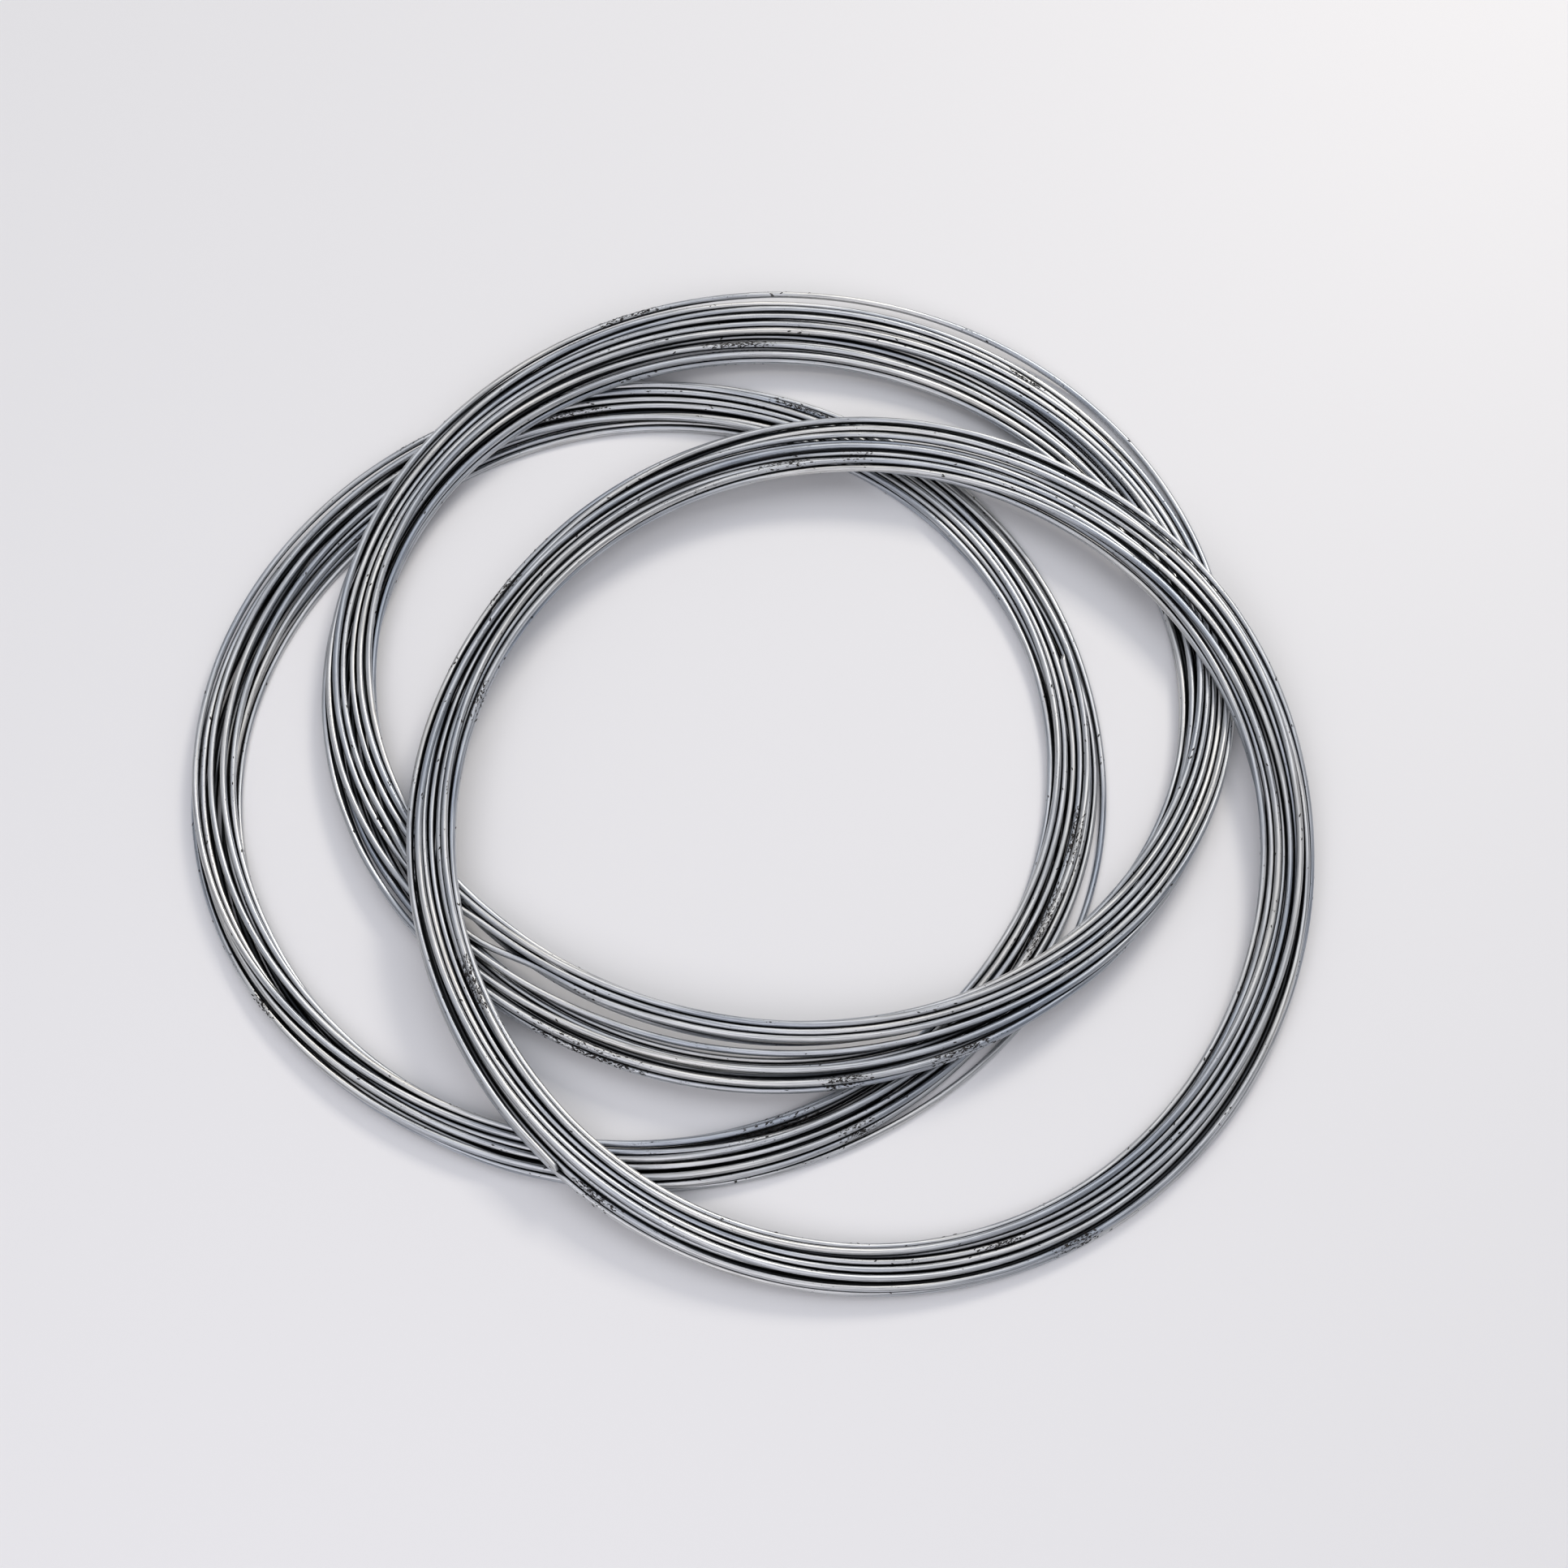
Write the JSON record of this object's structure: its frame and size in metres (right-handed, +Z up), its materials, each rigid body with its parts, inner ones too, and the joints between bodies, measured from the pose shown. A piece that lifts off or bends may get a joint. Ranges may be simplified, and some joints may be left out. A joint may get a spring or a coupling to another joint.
{
  "type": "wreath wire coils",
  "caption": "Loose coils of round galvanised steel wire for bending wreath frames, lying overlapped in a flat stack.",
  "frame": {"origin": "middle of the stack's footprint, on the floor that the lowest coil lies on", "axes": "+Z up from the floor; +X across the stack from the lower coil towards the upper coil; +Y towards the middle coil's far side"},
  "size_m": [0.5004, 0.4912, 0.0274],
  "materials": {
    "galvanised_wire": "satin hot-dip zinc with drawn streaks and a few dark specks"
  },
  "bodies": {
    "lower_coil": {"wire_coil_lower": "galvanised_wire"},
    "middle_coil": {"wire_coil_middle": "galvanised_wire"},
    "upper_coil": {"wire_coil_upper": "galvanised_wire"}
  },
  "joints": [
    {"name": "lift_middle", "type": "slide", "parent": "lower_coil", "child": "middle_coil", "axis": [0, 0, 1], "range_m": [0, 0.06]},
    {"name": "lift_upper", "type": "slide", "parent": "middle_coil", "child": "upper_coil", "axis": [0, 0, 1], "range_m": [0, 0.06]}
  ]
}
